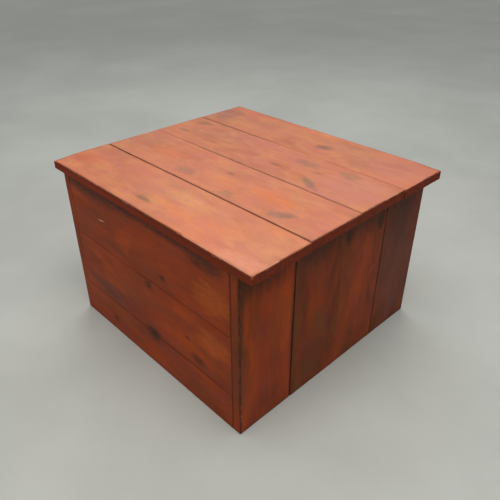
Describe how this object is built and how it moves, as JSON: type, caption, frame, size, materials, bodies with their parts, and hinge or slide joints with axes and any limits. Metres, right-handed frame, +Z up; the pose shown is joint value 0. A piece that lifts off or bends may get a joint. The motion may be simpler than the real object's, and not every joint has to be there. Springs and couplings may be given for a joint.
{
  "type": "wooden toy box",
  "caption": "Square storage chest of thick stained pine boards with an overhanging plank lid on butt hinges at the back.",
  "frame": {"origin": "centre of the whole object's footprint, on the floor, with the hinge barrels counted at the back", "axes": "+Z up; the front faces -Y and the hinges are at +Y; +X is to the right seen from the front, along the lid boards"},
  "size_m": [0.8544, 0.771, 0.5283],
  "materials": {
    "lid_pine": "reddish-brown stain under a satin varnish, worn at the edges",
    "wall_pine": "dark reddish-brown stain under a satin varnish",
    "bare_pine": "bare planed pine",
    "hinge_steel": "plain rolled steel",
    "screw_steel": "yellow zinc plate"
  },
  "bodies": {
    "box": {"left_side_board_1": "wall_pine", "left_side_board_2": "wall_pine", "left_side_board_3": "wall_pine", "left_side_board_4": "wall_pine", "right_side_board_1": "wall_pine", "right_side_board_2": "wall_pine", "right_side_board_3": "wall_pine", "right_side_board_4": "wall_pine", "front_board_bottom": "wall_pine", "front_board_middle": "wall_pine", "front_board_top": "wall_pine", "back_board_bottom": "wall_pine", "back_board_middle": "wall_pine", "back_board_top": "wall_pine", "corner_post_front_left": "bare_pine", "corner_post_front_right": "bare_pine", "corner_post_back_left": "bare_pine", "corner_post_back_right": "bare_pine", "left_bottom_rail": "bare_pine", "left_top_rail": "bare_pine", "right_bottom_rail": "bare_pine", "right_top_rail": "bare_pine", "floor_board_1": "bare_pine", "floor_board_2": "bare_pine", "floor_board_3": "bare_pine", "floor_board_4": "bare_pine", "left_hinge_box_leaf": "hinge_steel", "right_hinge_box_leaf": "hinge_steel", "left_hinge_pin": "hinge_steel", "right_hinge_pin": "hinge_steel", "left_hinge_box_screw_1": "screw_steel", "left_hinge_box_screw_2": "screw_steel", "left_hinge_box_screw_3": "screw_steel", "right_hinge_box_screw_1": "screw_steel", "right_hinge_box_screw_2": "screw_steel", "right_hinge_box_screw_3": "screw_steel"},
    "lid": {"lid_board_1": "lid_pine", "lid_board_2": "lid_pine", "lid_board_3": "lid_pine", "lid_board_4": "lid_pine", "lid_batten_left": "bare_pine", "lid_batten_right": "bare_pine", "lid_batten_left_screw_1": "screw_steel", "lid_batten_left_screw_2": "screw_steel", "lid_batten_left_screw_3": "screw_steel", "lid_batten_left_screw_4": "screw_steel", "lid_batten_right_screw_1": "screw_steel", "lid_batten_right_screw_2": "screw_steel", "lid_batten_right_screw_3": "screw_steel", "lid_batten_right_screw_4": "screw_steel", "left_hinge_lid_leaf": "hinge_steel", "right_hinge_lid_leaf": "hinge_steel", "left_hinge_lid_screw_1": "screw_steel", "left_hinge_lid_screw_2": "screw_steel", "left_hinge_lid_screw_3": "screw_steel", "right_hinge_lid_screw_1": "screw_steel", "right_hinge_lid_screw_2": "screw_steel", "right_hinge_lid_screw_3": "screw_steel"}
  },
  "joints": [
    {"name": "lid_hinge", "type": "hinge", "parent": "box", "child": "lid", "pos_m": [0, 0.38205, 0.50015], "axis": [-1, 0, 0], "range_deg": [0, 105]}
  ]
}
